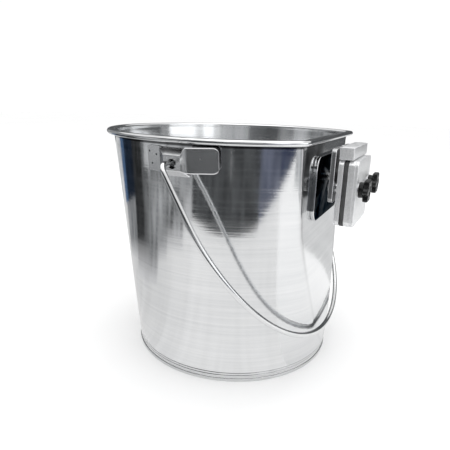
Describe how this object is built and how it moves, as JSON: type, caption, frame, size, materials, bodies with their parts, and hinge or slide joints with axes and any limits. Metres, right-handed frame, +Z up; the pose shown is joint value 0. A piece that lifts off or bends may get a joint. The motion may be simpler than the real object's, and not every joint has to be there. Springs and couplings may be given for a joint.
{
  "type": "flat-sided pail with clamp",
  "caption": "Flat-sided polished steel pail with rolled rim, pressed ears, swinging wire bail and a detachable plate clamp with star knobs.",
  "frame": {"origin": "centre of the round base on the resting plane", "axes": "+Z up, +X the outward normal of the flat side with the clamp, +Y through the far ear"},
  "size_m": [0.2673, 0.2972, 0.2234],
  "materials": {
    "pail_steel": "polished with fine horizontal lines",
    "bottom_steel": "satin",
    "ear_steel": "satin pressed sheet",
    "bail_steel": "polished wire",
    "hanger_steel": "mirror polished",
    "clamp_aluminium": "satin",
    "pad_grey": "matte grey",
    "bolt_steel": "bright zinc",
    "knob_plastic": "black moulded",
    "insert_brass": "turned"
  },
  "bodies": {
    "pail": {"pail_body": "pail_steel", "pail_bottom": "bottom_steel", "ear_near": "ear_steel", "ear_far": "ear_steel", "hanger_plate": "hanger_steel", "hanger_stud": "bolt_steel"},
    "bail": {"bail_wire": "bail_steel"},
    "clamp": {"docking_plate": "clamp_aluminium", "docking_spacer_near": "bolt_steel", "docking_spacer_far": "bolt_steel", "clamp_back_plate": "clamp_aluminium", "clamp_bolt_near": "bolt_steel", "clamp_bolt_far": "bolt_steel"},
    "jaw": {"clamp_pad": "pad_grey", "clamp_front_plate": "clamp_aluminium", "clamp_front_cover": "clamp_aluminium", "washer_near": "bolt_steel", "washer_far": "bolt_steel"},
    "knob_near": {"star_knob_near": "knob_plastic", "knob_insert_near": "insert_brass"},
    "knob_far": {"star_knob_far": "knob_plastic", "knob_insert_far": "insert_brass"}
  },
  "joints": [
    {"name": "bail_swing", "type": "hinge", "parent": "pail", "child": "bail", "pos_m": [0.0024, 0, 0.2034], "axis": [0, -1, 0], "range_deg": [0, 292]},
    {"name": "clamp_lift", "type": "slide", "parent": "pail", "child": "clamp", "axis": [0, 0, 1], "range_m": [-0.045, 0]},
    {"name": "jaw_slide", "type": "slide", "parent": "clamp", "child": "jaw", "axis": [1, 0, 0], "range_m": [0, 0.004]},
    {"name": "knob_near_turn", "type": "hinge", "parent": "jaw", "child": "knob_near", "pos_m": [0.1282, -0.024, 0.1795], "axis": [1, 0, 0], "range_deg": [0, 1440]},
    {"name": "knob_far_turn", "type": "hinge", "parent": "jaw", "child": "knob_far", "pos_m": [0.1282, 0.024, 0.1795], "axis": [1, 0, 0], "range_deg": [0, 1440]}
  ],
  "couplings": [
    {"joint": "knob_near_turn", "follows": "jaw_slide", "rad_per_m": 6283.2},
    {"joint": "knob_far_turn", "follows": "jaw_slide", "rad_per_m": 6283.2}
  ]
}
